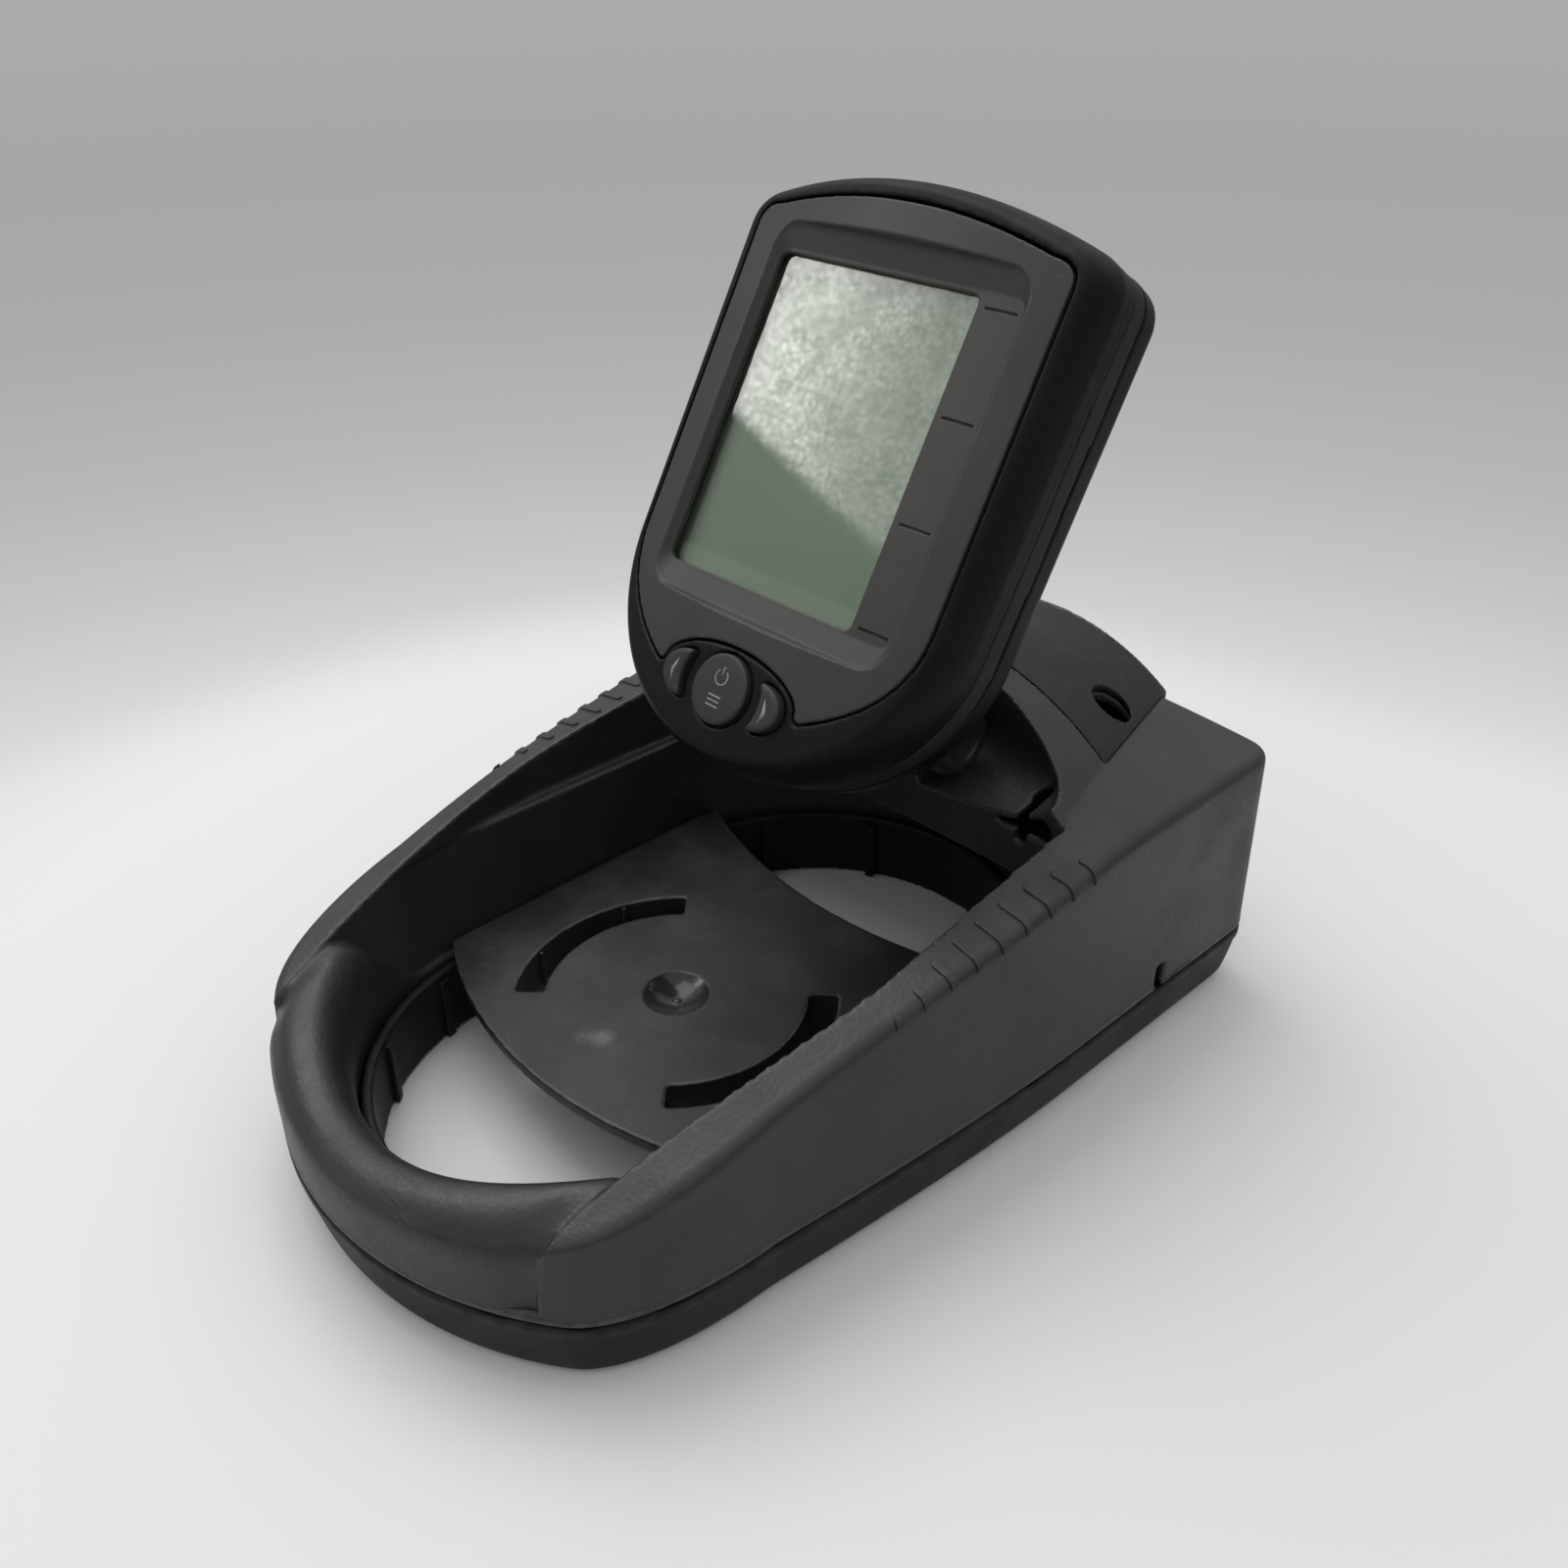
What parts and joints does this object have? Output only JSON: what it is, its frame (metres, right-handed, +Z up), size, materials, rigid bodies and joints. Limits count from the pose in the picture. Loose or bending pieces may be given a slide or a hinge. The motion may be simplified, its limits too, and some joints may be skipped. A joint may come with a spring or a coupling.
{
  "type": "portable fish finder",
  "caption": "Portable fish finder with a tilting display head on a battery base that has a carry ring and an open well.",
  "frame": {"origin": "on the floor under the middle of the base's bounding box", "axes": "+Z up, +Y from the carry ring to the rear of the base, +X to the right for a person who reads the display"},
  "size_m": [0.1696, 0.261, 0.2196],
  "materials": {
    "casing_plastic": "fine leathery grain, satin",
    "pan_plastic": "fine grain, satin",
    "plate_plastic": "very fine grain, satin",
    "panel_plastic": "smooth satin",
    "rack_plastic": "moulded, satin",
    "mount_plastic": "moulded, satin",
    "knob_plastic": "moulded, satin",
    "housing_plastic": "soft-touch coating",
    "face_plastic": "satin",
    "band_rubber": "matt",
    "key_rubber": "matt silicone rubber",
    "rubber": "matt",
    "window": "clear, slightly worn",
    "display": "grey-green liquid crystal",
    "light_guide": "milky",
    "board": "solder mask",
    "cell_wrap": "printed sleeve",
    "steel": "plated",
    "screw_steel": "blackened"
  },
  "bodies": {
    "base": {"upper_shell": "casing_plastic", "bottom_pan": "pan_plastic", "cross_plate": "plate_plastic", "cowl_panel": "panel_plastic", "battery_cover": "pan_plastic", "battery_rack": "rack_plastic", "battery_cell_1": "cell_wrap", "battery_cell_2": "cell_wrap", "battery_cell_3": "cell_wrap", "battery_cell_4": "cell_wrap", "battery_cell_5": "cell_wrap", "battery_cell_6": "cell_wrap", "battery_cell_7": "cell_wrap", "battery_cell_8": "cell_wrap", "contact_plate_1": "steel", "contact_plate_2": "steel", "contact_plate_3": "steel", "contact_plate_4": "steel", "rubber_foot_1": "rubber", "rubber_foot_2": "rubber", "rubber_foot_3": "rubber", "rubber_foot_4": "rubber", "case_screw_1": "screw_steel", "case_screw_2": "screw_steel", "case_screw_3": "screw_steel", "case_screw_4": "screw_steel", "cover_screw_1": "screw_steel", "cover_screw_2": "screw_steel", "mount_yoke": "mount_plastic", "mount_screw_1": "screw_steel", "mount_screw_2": "screw_steel", "tilt_bolt": "steel", "washer_right": "rubber", "washer_left": "rubber"},
    "head": {"front_housing": "housing_plastic", "rear_housing": "housing_plastic", "gasket_band": "band_rubber", "faceplate": "face_plastic", "window_lens": "window", "display_panel": "display", "back_light": "light_guide", "circuit_board": "board", "sounder_disc": "rack_plastic", "radio_module": "steel", "keypad_mat": "rubber", "head_bracket": "mount_plastic", "bracket_screw_1": "screw_steel", "bracket_screw_2": "screw_steel", "bracket_screw_3": "screw_steel", "bracket_screw_4": "screw_steel", "housing_screw_1": "screw_steel", "housing_screw_2": "screw_steel", "housing_screw_3": "screw_steel", "housing_screw_4": "screw_steel"},
    "tilt_knob_right": {"tilt_knob_right": "knob_plastic"},
    "tilt_knob_left": {"tilt_knob_left": "knob_plastic"},
    "power_button": {"power_button": "key_rubber"},
    "left_button": {"left_button": "key_rubber"},
    "right_button": {"right_button": "key_rubber"}
  },
  "joints": [
    {"name": "head_tilt", "type": "hinge", "parent": "base", "child": "head", "pos_m": [0, 0.0555, 0.0835], "axis": [1, 0, 0], "range_deg": [-40, 45]},
    {"name": "knob_turn_right", "type": "hinge", "parent": "base", "child": "tilt_knob_right", "pos_m": [0.0224, 0.0555, 0.0835], "axis": [1, 0, 0], "range_deg": [0, 180]},
    {"name": "knob_turn_left", "type": "hinge", "parent": "base", "child": "tilt_knob_left", "pos_m": [-0.0224, 0.0555, 0.0835], "axis": [1, 0, 0], "range_deg": [0, 180]},
    {"name": "power_push", "type": "slide", "parent": "head", "child": "power_button", "axis": [0, 0.8604, -0.5097], "range_m": [0, 0.001], "stiffness_N_per_m": 300},
    {"name": "right_push", "type": "slide", "parent": "head", "child": "right_button", "axis": [0, 0.8604, -0.5097], "range_m": [0, 0.001], "stiffness_N_per_m": 300},
    {"name": "left_push", "type": "slide", "parent": "head", "child": "left_button", "axis": [0, 0.8604, -0.5097], "range_m": [0, 0.001], "stiffness_N_per_m": 300}
  ]
}
